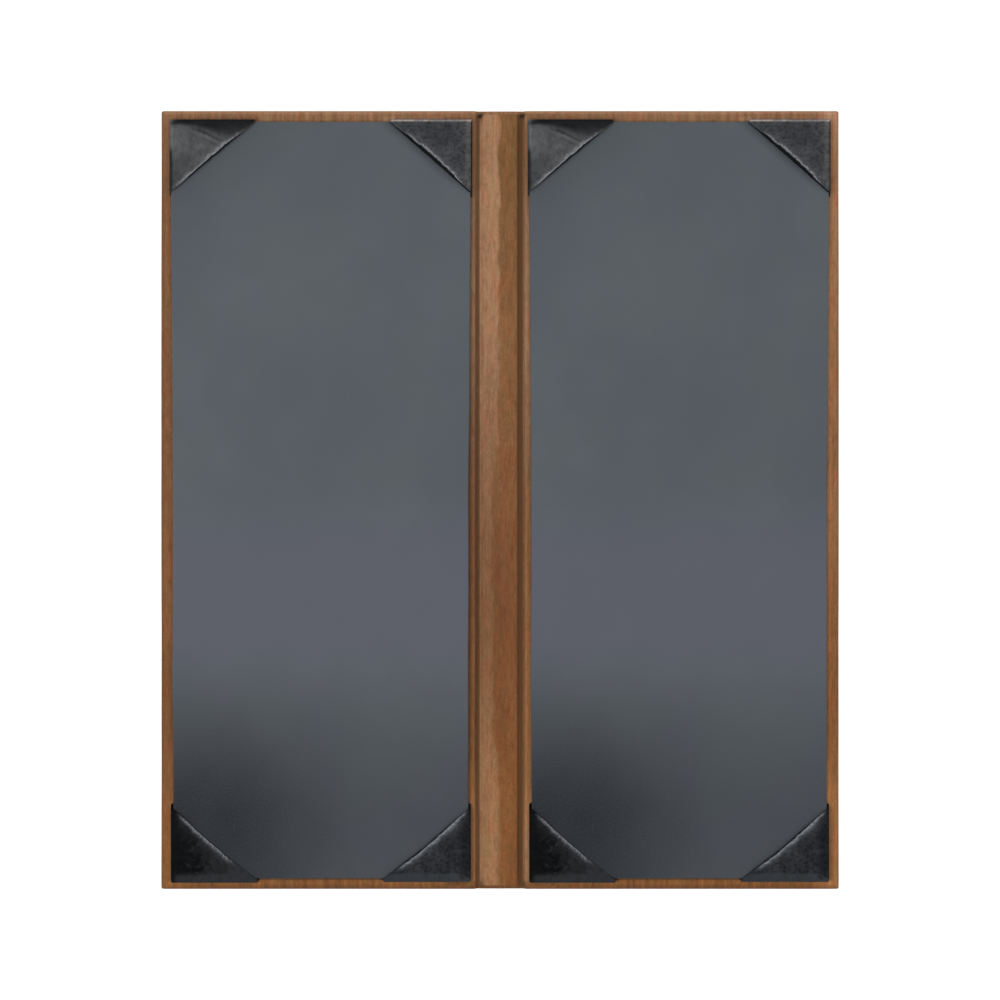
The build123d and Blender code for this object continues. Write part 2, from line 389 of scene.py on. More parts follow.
        # broader, stronger streaks where the sheet folds over head and tail
        ends = k.add(k.span(y, 144.0, 147.0), k.span(y, -144.0, -147.0))
        wide = k.add(k.mul(broad, 0.20), k.add(k.mul(bands, 0.60), k.mul(fibres, 0.20)))
        wide = k.add(k.mul(k.sub(wide, 0.5), 1.55), 0.5)
        value = k.add(value, k.mul(ends, k.sub(wide, value)))
    wood = tinted(wood, value, (0.34, (0.74, 0.72, 0.68)), (0.44, (0.895, 0.885, 0.870)), (0.50, (1.0, 1.0, 1.0)), (0.57, (1.09, 1.10, 1.115)), (0.67, (1.23, 1.26, 1.31)))
    wood = tinted(wood, patch, (0.34, (0.95, 1.025, 0.95)), (0.44, (0.985, 1.010, 0.985)), (0.50, (1.0, 1.0, 1.0)), (0.58, (1.03, 0.965, 0.93)), (0.68, (1.06, 0.92, 0.86)))
    wood = tinted(wood, fleck, (0.30, (0.85, 0.83, 0.80)), (0.42, (0.955, 0.950, 0.940)), (0.50, (1.0, 1.0, 1.0)), (0.60, (1.045, 1.05, 1.065)), (0.72, (1.11, 1.12, 1.16)))
    wood = tinted(wood, block, (0.30, (0.92, 0.91, 0.90)), (0.50, (1.0, 1.0, 1.0)), (0.70, (1.08, 1.09, 1.10)))
    wood = tinted(wood, fine, (0.28, (0.95, 0.94, 0.93)), (0.50, (1.0, 1.0, 1.0)), (0.72, (1.04, 1.045, 1.05)))

    # pores: short dark dashes along the grain, in drifts
    drift = k.span(grain(0.30, 0.035, 9), 0.40, 0.66)
    pores = k.mul(k.span(grain(2.7, 0.24, 3, 1, 0.4), 0.64, 0.76), k.add(k.mul(drift, 0.75), 0.20))
    small = k.mul(k.span(grain(3.6, 0.75, 13, 0), 0.67, 0.79), k.add(k.mul(drift, 0.5), 0.4))
    tail = k.span(y, 0.0, -105.0, 0.25, 1.0)
    wood = k.mix(k.mul(k.mul(pores, tail), 0.50), wood, (0.070, 0.0270, 0.0100))
    wood = k.mix(k.mul(k.mul(small, tail), 0.42), wood, (0.072, 0.0290, 0.0110))

    # painted shade in the grooves, nearly black at their heads; painted shade along the crease line and on the rims
    # other than the head's; a patchy painted highlight on the head's rim and on the boards' top edges beside the
    # grooves
    wood = k.mix(k.span(deep, 0.0, 0.70, 0.0, 0.84, "LINEAR"), wood, (0.080, 0.0370, 0.0150))
    wood = k.mix(k.span(deep, 0.72, 1.0, 0.0, 0.90), wood, (0.018, 0.0090, 0.0050))
    wood = k.mix(k.mul(crease, 0.50), wood, (0.100, 0.0450, 0.0200))
    rim_noise = k.noise(k.stretch(p, (0.35, 0.35, 1), shift), 1.0, 3, 0.6)
    wood = k.mix(k.mul(rim, k.span(rim_noise, 0.30, 0.62, 0.20, 0.70)), wood, (0.300, 0.1550, 0.0900))
    k.set(Base_Color=wood)

    k.set(Roughness=k.span(bands, 0.30, 0.70, 0.46, 0.60))
    k.shader.inputs["Specular IOR Level"].default_value = 0.12

    # emboss: pores pressed in, long fibre ridges, and the fine pebble of the vinyl
    pebble = k.noise(k.stretch(p, (3.6, 2.6, 1), shift), 1.0, 1, 0.6)
    ridges = k.noise(k.stretch(p, (2.6, 0.22, 1), (shift[0] + 3, shift[1] + 7, 0)), 1.0, 2, 0.5)
    k.set(Normal=k.bump(k.add(k.mul(pebble, 0.45), ridges), 0.00010, 0.75))
    return k.material


# ------------------------------------------------------------ panel lining
def lining_sheet():
    """Dark blue-grey satin sheet, softly mottled, with painted shade towards one lower corner."""
    k = Nodes("panel_lining_satin")
    p = k.sheet()
    x, y, _ = k.xyz(p)
    edge, _, _ = k.masks()
    cloud = k.noise(k.stretch(p, (0.018, 0.013, 1), (3.1, 8.2, 0)), 1.0, 3, 0.55)
    mottle = k.noise(k.stretch(p, (0.075, 0.06, 1), (9.0, 1.0, 0)), 1.0, 3, 0.6)
    tint = k.noise(k.stretch(p, (0.030, 0.017, 1), (20.0, 5.0, 0)), 1.0, 2, 0.5)
    grey = k.mix(k.span(cloud, 0.35, 0.65), (0.0770, 0.0870, 0.1025), (0.0880, 0.0990, 0.1115))
    grey = k.mix(k.span(mottle, 0.40, 0.66, 0.0, 0.35), grey, (0.0790, 0.0900, 0.0985))
    grey = k.mix(k.span(tint, 0.44, 0.62, 0.0, 0.30), grey, (0.0790, 0.0945, 0.1000))
    # a faint violet band below the middle
    band = k.mul(k.span(y, 12.0, -26.0), k.span(y, -84.0, -44.0))
    grey = k.mix(k.mul(band, 0.62), grey, (0.0930, 0.0950, 0.1280))
    # painted shade: the lower part is darker, most of all at its left
    low = k.span(y, -49.0, -121.0)
    side = k.span(x, 26.0, -43.0, 0.44, 1.0)
    drift = k.span(k.noise(k.stretch(p, (0.030, 0.026, 1), (1.0, 4.0, 0)), 1.0, 2), 0.30, 0.70, 0.83, 0.91)
    grey = k.mix(k.mul(k.mul(low, side), drift), grey, (0.0020, 0.0029, 0.0066))
    # painted shade beside the upper pockets, a little darker along their folds
    by_left = k.add(k.add(k.mul(x, 0.6447), k.mul(y, -0.7645)), 123.04)
    by_right = k.add(k.add(k.mul(x, -0.6550), k.mul(y, -0.7556)), 122.60)
    grey = k.mix(k.span(by_left, -6.0, 24.0, 0.20, 0.0), grey, (0.0030, 0.0034, 0.0044))
    grey = k.mix(k.mul(k.span(by_right, 0.4, 3.6, 0.22, 0.0), k.span(y, 114.0, 121.0)), grey, (0.0030, 0.0034, 0.0044))
    # and painted light along the lower left one, cancelling the shade beside its fold
    by_low = k.add(k.add(k.mul(x, 0.6469), k.mul(y, 0.7626)), 122.85)
    by_low = k.add(by_low, k.span(x, -24.0, -34.0, 0.0, 0.55, "LINEAR"))
    grey = k.mix(k.span(by_low, 0.95, 0.05), grey, (1.72, 1.70, 1.68), "MULTIPLY")
    # scuffs: a few short pale hairs
    scuff = k.noise(k.stretch(p, (0.9, 0.12, 1), (2.0, 33.0, 0)), 1.0, 2, 0.5, 0.6)
    where = k.span(k.noise(k.stretch(p, (0.035, 0.030, 1), (55.0, 2.0, 0)), 1.0, 1), 0.60, 0.74)
    scuffs = k.mul(k.span(scuff, 0.70, 0.78), where)
    grey = k.mix(k.mul(scuffs, 0.20), grey, (0.20, 0.22, 0.24))
    grain = k.noise(k.stretch(p, (1.5, 1.5, 1), (7, 7, 0)), 1.0, 2, 0.65)
    grey = k.mix(k.span(grain, 0.34, 0.70, 0.0, 0.10), grey, (0.105, 0.117, 0.129))
    # painted shade on the rounded rim and the sides
    grey = k.mix(k.mul(edge, 0.30), grey, (0.050, 0.045, 0.042))
    k.set(Base_Color=grey)
    k.set(Roughness=k.span(mottle, 0.25, 0.75, 0.50, 0.60))
    k.shader.inputs["Specular IOR Level"].default_value = 0.16
    weave = k.cells(k.stretch(p, (1.7, 1.7, 1), (0, 0, 0)), 1.0, "F1", 0.9)
    k.set(Normal=k.bump(k.add(k.mul(weave, 0.35), k.mul(grain, 0.6)), 0.00006, 0.45))
    return k.material


# ------------------------------------------------------------ pocket leatherette
def pocket_leather(name, base, pale, sheen_and_rub, edge_colour, mottled, sparks, glint, shine, specular, seed, streaks=(0.6, 0.6), relief=0.00017, speck=2.3, calm=None):
    """Black leather-grain sheet. Masks: painted highlight along the fold, painted shade, and paler parts that are
    mostly painted highlight and sheen and partly rubbing.
    """
    k = Nodes(name)
    p = k.sheet()
    fold, dark, light = k.masks()
    big = k.noise(k.stretch(p, (0.16, 0.16, 1), (seed, seed * 2.0, 0)), 1.0, 2, 0.55)
    spots = k.noise(k.stretch(p, (streaks[0], streaks[1], 1), (seed + 5, 2, 0)), 1.0, 2, 0.62)
    specks = k.noise(k.stretch(p, (streaks[0] * speck, streaks[1] * speck, 1), (seed + 1, 9, 0)), 1.0, 2, 0.65)
    colour = k.mix(k.span(big, 0.36, 0.66), base, pale)
    # paler parts: painted highlight and sheen, partly rubbing
    colour = k.mix(k.mul(light, 0.95), colour, sheen_and_rub)
    lower = tuple(c * 0.30 for c in base)
    uneven = k.sub(1.0, k.mul(light, 0.75)) if calm is None else k.span(light, 0.04, calm, 1.0, 0.14)
    colour = k.mix(k.mul(k.mul(k.span(spots, 0.60, 0.30), uneven), mottled), colour, lower)
    bright = k.mul(k.span(specks, 0.54, 0.72), k.span(spots, 0.34, 0.56))
    bright = bright if calm is None else k.mul(bright, uneven)
    colour = k.mix(k.mul(bright, sparks), colour, glint)
    # painted shade
    colour = k.mix(k.mul(dark, 0.94), colour, (0.0030, 0.0032, 0.0038))
    # painted highlight along the fold, made patchy
    paler_share = k.span(k.noise(k.stretch(p, (1.1, 1.1, 1), (seed + 3, 4, 0)), 1.0, 3, 0.75), 0.36, 0.58, 0.30, 1.0)
    colour = k.mix(k.mul(fold, paler_share), colour, edge_colour)
    k.set(Base_Color=colour)
    k.set(Roughness=k.span(spots, 0.3, 0.7, shine - 0.06, shine + 0.10))
    k.shader.inputs["Specular IOR Level"].default_value = specular
    grain = k.cells(k.stretch(p, (1.25, 1.25, 1), (seed, 0, 0)), 1.0, "SMOOTH_F1", 1.0)
    pits = k.noise(k.stretch(p, (3.4, 3.4, 1), (seed, 3, 0)), 1.0, 1, 0.6)
    height = k.add(k.mul(grain, 0.6), k.add(k.mul(pits, 0.5), k.mul(spots, 0.7)))
    k.set(Normal=k.bump(height, relief, 0.75))
    return k.material


# ------------------------------------------------------------ boards inside
def board(name, base, fleck):
    k = Nodes(name)
    t = k.new("ShaderNodeTexCoord")
    n = k.new("ShaderNodeVectorMath", operation="SCALE")
    k.put(n.inputs[0], t.outputs["Object"])
    n.inputs["Scale"].default_value = 1000.0
    p = n.outputs[0]
    pulp = k.noise(k.stretch(p, (0.9, 0.35, 0.9)), 1.0, 4, 0.7)
    colour = k.mix(k.span(pulp, 0.30, 0.70), base, tuple(c * 1.25 for c in base))
    bits = k.noise(k.stretch(p, (2.4, 0.8, 2.4), (4, 4, 4)), 1.0, 1)
    colour = k.mix(k.span(bits, 0.66, 0.72, 0.0, 0.7), colour, fleck)
    layers = k.noise(k.stretch(p, (0.04, 0.04, 6.0)), 1.0, 2)
    colour = k.mix(k.span(layers, 0.40, 0.30, 0.0, 0.4), colour, tuple(c * 0.6 for c in base))
    k.set(Base_Color=colour, Roughness=k.span(pulp, 0.2, 0.8, 0.82, 0.95))
    k.set(Normal=k.bump(k.add(pulp, bits), 0.00008, 0.6))
    return k.material


wood_outer = wood_leatherette("wood_look_outer", (12.3, 4.1, 0), False)
wood_inner = wood_leatherette("wood_look_inner", (31.7, 9.4, 0), True)
lining_material = lining_sheet()
greyboard = board("greyboard_pulp", (0.34, 0.31, 0.27), (0.12, 0.11, 0.10))
spine_card = board("spine_card_pulp", (0.40, 0.37, 0.32), (0.16, 0.14, 0.12))
# The four pockets are one black leather: their different base, pale, sheen and fold colours are painted light and
# shade, greyest at the upper left and blackest at the lower left.
pocket_materials = {
    "top_left": pocket_leather(
        "pocket_grey", base=(0.067, 0.070, 0.073), pale=(0.089, 0.092, 0.096), sheen_and_rub=(0.150, 0.156, 0.162), edge_colour=(0.215, 0.222, 0.236),
        mottled=0.34, sparks=0.30, glint=(0.140, 0.145, 0.150), shine=0.56, specular=0.04, seed=3.0, streaks=(0.5, 0.35),
    ),
    "top_right": pocket_leather(
        "pocket_mottled", base=(0.038, 0.040, 0.044), pale=(0.057, 0.060, 0.065), sheen_and_rub=(0.375, 0.320, 0.285), edge_colour=(0.235, 0.247, 0.266),
        mottled=0.54, sparks=0.42, glint=(0.092, 0.094, 0.098), shine=0.56, specular=0.03, seed=17.0, streaks=(0.74, 0.74), relief=0.00011,
    ),
    "bottom_left": pocket_leather(
        "pocket_black", base=(0.0042, 0.0046, 0.0054), pale=(0.0100, 0.0107, 0.0122), sheen_and_rub=(0.0260, 0.0284, 0.0312), edge_colour=(0.165, 0.173, 0.190),
        mottled=0.85, sparks=0.75, glint=(0.026, 0.028, 0.032), shine=0.50, specular=0.02, seed=29.0, streaks=(0.50, 0.42), relief=0.00013, speck=1.25,
    ),
    "bottom_right": pocket_leather(
        "pocket_blue_black", base=(0.0175, 0.0190, 0.0220), pale=(0.0280, 0.0305, 0.0345), sheen_and_rub=(0.074, 0.083, 0.096), edge_colour=(0.205, 0.217, 0.238),
        mottled=0.72, sparks=0.45, glint=(0.058, 0.063, 0.072), shine=0.50, specular=0.03, seed=41.0, streaks=(0.72, 0.62), relief=0.00012, calm=0.15,
    ),
}

for node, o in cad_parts.items():
    o.data.materials.clear()
    o.data.materials.append(spine_card if node == "spine_board" else greyboard)


# ============================================================ the case's outer wrap
TOP_AT = np.array(
    [
        (0.0, 1.43), (1.5, 1.425), (3.0, 1.415), (4.5, 1.40), (5.4, 1.385), (5.9, 1.355), (6.2, 1.30), (6.4, 1.235), (6.6, 1.14),
        (6.8, 1.02), (7.05, 0.925), (7.35, 0.87), (7.7, 0.85), (8.05, 0.85), (8.35, 0.865), (8.58, 0.91), (8.75, 1.00), (8.87, 1.18),
        (8.95, 1.45), (9.01, 1.80), (9.08, 2.14), (9.18, 2.42), (9.32, 2.64), (9.5, 2.79), (9.75, 2.89), (10.1, 2.94), (10.6, 2.95), (200, 2.95),
    ]
)
UNDER_AT = np.array([(0, 0.95), (6.25, 0.95), (6.3, 0.52), (7.0, 0.52), (8.7, 0.52), (9.40, 0.50), (9.44, 2.5), (200, 2.5)])


def top_z(x):
    return np.interp(np.abs(x), TOP_AT[:, 0], TOP_AT[:, 1])


def under_z(x):
    return np.interp(np.abs(x), UNDER_AT[:, 0], UNDER_AT[:, 1])


def base_z(x):
    """Underside of the case: pressed in at the grooves."""
    x = np.abs(x)
    return 0.15 * smooth(6.4, 7.5, x) * (1 - smooth(8.2, 9.3, x))


def lay_z(x):
    """Inner side of the outer wrap's bottom."""
    x = np.abs(x)
    return 0.45 + 0.05 * smooth(6.3, 7.0, x) * (1 - smooth(8.6, 9.4, x))


D_IN = np.array([15, 13.2, 11.4, 9.6, 8.0, 6.6, 5.4, 4.4, 3.5, 2.8, 2.2, 1.85])   # rows across the turn-in

GROOVE_X = np.array([5.4, 5.9, 6.2, 6.4, 6.6, 6.8, 7.05, 7.35, 7.7, 8.05, 8.35, 8.58, 8.75, 8.87, 8.95, 9.01, 9.08, 9.18, 9.32, 9.42, 9.44, 9.5, 9.75, 10.1, 10.6])


def wrap_rows(z_low, z_top, z_in_low, z_in_top, width, crease):
    """Profile of one section through a wrapped edge: for each row, distance in from the
    edge and height of the outer face, the same for the inner face, length along the outer
    face from the first row, and masks for the rounded rims, which carry a painted highlight
    at the head and painted shade elsewhere, and for the crease line, which carries painted shade."""
    tall = z_top - z_low
    rb, rt = min(0.6, 0.30 * tall), min(0.95, 0.45 * tall)
    rows = []

    def row(d, z, di, zi, rim=0.0, line=0.0):
        rows.append((d, z, max(di, LEATHER), min(max(zi, z_in_low), z_in_top), rim, line))

    for d in D_IN:
        row(d, z_low, d, z_in_low)
    for a in np.linspace(0, 90, 6):
        a = math.radians(a)
        d, z = rb - rb * math.sin(a), z_low + rb - rb * math.cos(a)
        row(d, z, d, z_in_low, rim=0.5 * math.sin(2 * a))
    for t in (0.25, 0.5, 0.75):
        z = z_low + rb + (tall - rb - rt) * t
        row(0.0, z, 0.0, z_in_low + (z_in_top - z_in_low) * t)
    for a in np.linspace(0, 90, 9):
        a = math.radians(a)
        d, z = rt - rt * math.cos(a), z_top - rt + rt * math.sin(a)
        row(d, z, d, z_in_top, rim=math.sin(2 * a) ** 0.7 if 0 < a < 1.55 else 0.0)
    # a shallow crease inside the top rim; its line carries painted shade
    near = [(1.20, 0.0, 0.0), (1.30, -0.35, 0.6), (1.45, -1.0, 1.0), (1.60, -0.35, 0.6), (1.72, 0.0, 0.0)]
    near += [(d, 0.0, 0.0) for d in D_IN[::-1]]
    for i, (d, dip, line) in enumerate(near):
        if width > 2:
            row(d, z_top + 0.06 * dip * crease, d, z_in_top, line=line * crease)
        else:
            d = rt + (width - rt) * (i + 1) / len(near)
            row(d, z_top, d, z_in_top)
    r = np.array(rows)
    step = np.hypot(np.diff(r[:, 0]), np.diff(r[:, 1]))
    return r, np.concatenate([[0], np.cumsum(step)])


def groove_head_shade(x, y, front):
    """Painted shade at the heads of the grooves, where strip and turn-ins crowd together."""
    middle, width = (7.55, 1.25) if front else (8.1, 1.25)
    inward = HALF_H - 1.95 - np.abs(y)
    along = np.exp(-((inward / 1.25) ** 4)) * np.where(np.asarray(y) > 0, 1.0, 0.66)
    return np.exp(-(((np.abs(x) - middle - (0.35 if front else -0.35) * inward) / width) ** 4)) * along


def outer_wrap(name, front):
    """Half of the case's outer sheet, from the middle of the spine to the fore edge."""
    xs = np.concatenate(
        [
            [0, 1.0, 2.0, 3.0, 4.0, 4.8],
            GROOVE_X,
            [11.3, 12.5, 14, 16, 18, 19.5, 20.6, 21.0, 21.6],
            np.arange(24, HALF_W - 15.5, 2.4),
            HALF_W - D_IN,
        ]
    )
    ys = np.concatenate([-(HALF_H - D_IN)[::-1], np.arange(-(HALF_H - 17.4), HALF_H - 17.0, 2.4), HALF_H - D_IN])
    arc = np.radians(np.linspace(90, 0, 9))[1:-1]
    stations = [("head", x, None) for x in xs] + [("corner", 1, a) for a in arc] + [("fore", None, y) for y in ys[::-1]]
    stations += [("corner", -1, a) for a in arc[::-1]] + [("tail", x, None) for x in xs[::-1]]

    P, I, S, M = [], [], [], []
    cx, cy = HALF_W - CORNER_R, HALF_H - CORNER_R
    for kind, u, v in stations:
        narrow = kind in ("head", "tail") and u < 20.8
        at = u if kind in ("head", "tail") else 100.0
        # depth of the crease inside the rim and strength of its painted shade
        crease = {"head": 0.45, "tail": 0.15}.get(kind, 0.0)
        if kind == "corner":
            crease = 0.25 if u > 0 else 0.1
        r, along = wrap_rows(float(base_z(at)), float(top_z(at)), float(lay_z(at)), float(under_z(at)) if narrow else Z_TURN, 1.2 if narrow else TURN_IN, crease)
        out, inn, flat = [], [], []
        for (d, z, di, zi, _, _), length in zip(r, along):
            reach = length - D_IN[0]
            for dd, zz, to in ((d, z, out), (di, zi, inn)):
                if kind in ("head", "tail"):
                    s = 1 if kind == "head" else -1
                    to.append((min(u, HALF_W - max(dd, CORNER_R)), s * (HALF_H - dd), zz))
                elif kind == "fore":
                    to.append((HALF_W - dd, np.sign(v) * min(abs(v), HALF_H - max(dd, CORNER_R)), zz))
                elif dd < CORNER_R:
                    to.append((cx + math.cos(v) * (CORNER_R - dd), u * (cy + math.sin(v) * (CORNER_R - dd)), zz))
                else:
                    to.append((HALF_W - dd, u * (HALF_H - dd), zz))
            px, py, _ = out[-1]
            if kind in ("head", "tail"):
                flat.append((px, (1 if kind == "head" else -1) * (HALF_H + reach), 0))
            elif kind == "fore":
                flat.append((HALF_W + reach, py, 0))
            elif CORNER_R + reach > 0:
                flat.append((cx + math.cos(v) * (CORNER_R + reach), u * (cy + math.sin(v) * (CORNER_R + reach)), 0))
            else:
                flat.append((px, py, 0))
        P.append(out)
        I.append(inn)
        S.append(flat)
        # painted shade in the grooves across the head and tail turn-ins
        groove = float(smooth(6.3, 7.2, at) * (1 - smooth(8.75, 9.2, at))) if narrow else 0.0
        # painted highlight on the head's rim, less over the spine and on the head's corners; painted shade on the other
        # rims
        rim_highlight = {"head": 1.0 if at > 9.1 else 0.45, "corner": 0.5 if u and u > 0 else 0.0}.get(kind, 0.0)
        rim_shade = 0.0 if kind == "head" else 0.60
        M.append([(a * rim_highlight, max(b, a * rim_shade), max(groove * 0.25, float(groove_head_shade(at, q[1], front)) if narrow and q[2] > 0.8 else 0.0), 0) for (a, b), q in zip(r[:, 4:6], out)])
    P, I, S, M = (np.array(a, float) for a in (P, I, S, M))
    # no board edge is dead straight, and no wrapped face dead flat
    wob = 0.05 * np.sin(P[..., 1] * 0.031 + 0.7) + 0.035 * noise(P[..., 1] * 0.06, P[..., 0] * 0.02 + 5, 3)
    edge = smooth(HALF_W - 6, HALF_W, P[..., 0])
    P[..., 0] += wob * edge
    lift = 0.035 * fractal(P[..., 0] * 0.05, P[..., 1] * 0.05, 11 if front else 12)
    upper = (P[..., 2] > Z_INSIDE - 0.3) & (P[..., 0] > 22)
    P[..., 2] += np.where(upper, lift, 0)

    shape = Shape()
    shape.grid(P, S, M)
    shape.grid(I, S, M * 0, flip=True)
    shape.strip(P[:, -1], I[:, -1], S[:, -1], S[:, -1])
    # the flat between the turn-ins: outer face below, inner face above
    gx = np.unique(np.round(np.minimum(xs, HALF_W - D_IN[0]), 6))
    gy = np.unique(np.round(np.clip(ys, -(HALF_H - D_IN[0]), HALF_H - D_IN[0]), 6))
    X, Y = np.meshgrid(gx, gy, indexing="ij")
    flat = np.stack([X, Y, X * 0], -1)
    below, above = np.stack([X, Y, base_z(X)], -1), np.stack([X, Y, lay_z(X)], -1)
    shape.grid(below, flat, flip=True)
    shape.grid(above, flat)
    shape.strip(below[0], above[0], flat[0], flat[0])
    for end in (0, -1):
        shape.strip(P[end], I[end], S[end], S[end], flip=end == 0)
    o = shape.build(name, wood_outer, mirror=front)
    return o


def hinge_strip(name, front):
    """Half of the inner strip: spine, groove, up the board's edge and under the panel."""
    xs = np.concatenate([[0, 0.5, 1.0, 1.7, 2.4, 3.1, 3.8, 4.5, 5.0], GROOVE_X, [11.3, 12.3, 13.5, 15, 17, 19, 20.4, 20.8, 21.0]])
    inner = np.arange(-140.4, 140.5, 1.8)
    ends = np.array([143.8, 143.74, 143.62, 143.45, 143.2, 142.7, 142.0])
    ys = np.concatenate([-ends, inner, ends[::-1]])
    X, Y = np.meshgrid(xs, ys, indexing="ij")
    far = STRIP_Y - np.abs(Y)
    low = under_z(X)
    top = top_z(X)
    thick = np.minimum(top - low, 0.45)
    top = top - np.where(X < 12, 0.09, 0.05) * (1 - smooth(0.0, 0.42, far)) * np.clip(thick / 0.45, 0.4, 1)
    top = top - 0.25 * smooth(20.3, 21.0, X)
    sign = -1 if front else 1
    swell = 0.028 * fractal(sign * X * 0.10 + 3, Y * 0.035, 21) + 0.012 * noise(sign * X * 0.5, Y * 0.12, 5)
    top = top + swell * smooth(0.0, 1.5, far) * (1 - smooth(6.0, 7.2, X) * (1 - smooth(9.8, 10.8, X)))
    T = np.stack([X, Y, top], -1)
    B = np.stack([X, Y, low], -1)
    step = np.concatenate([[0], np.cumsum(np.hypot(np.diff(xs), np.diff(top_z(xs))))])
    flat = np.stack([np.broadcast_to(step[:, None], X.shape), Y, X * 0], -1)
    # painted shade in the grooves; on the front it sits to one side, as a cast shadow
    groove = smooth(6.15, 6.70, X) * (1 - smooth(8.40, 8.72, X))
    if front:
        groove = 0.96 * smooth(7.37, 7.86, X) * (1 - 0.5 * smooth(8.4, 8.8, X)) * (1 - smooth(9.0, 9.25, X))
    # painted highlight along the board's top edge beside the groove
    shoulder_highlight = np.exp(-(((X - 9.75) / 0.35) ** 2)) * 0.15
    cut = 0.30 * (1 - smooth(0.0, 0.30, far))
    # painted shade in the grooves and at their heads
    deep = np.maximum(0.70 * groove, groove_head_shade(X, Y, front))
    M = np.stack([shoulder_highlight, cut, np.clip(deep, 0, 1), X * 0], -1)
    shape = Shape()
    shape.grid(T, flat, M)
    shape.grid(B, flat, flip=True)
    shape.strip(T[:, 0], B[:, 0], flat[:, 0], flat[:, 0], M[:, 0])
    shape.strip(T[:, -1], B[:, -1], flat[:, -1], flat[:, -1], M[:, -1], flip=True)
    shape.strip(T[0], B[0], flat[0], flat[0], flip=True)
    shape.strip(T[-1], B[-1], flat[-1], flat[-1])
    return shape.build(name, wood_inner, mirror=front)


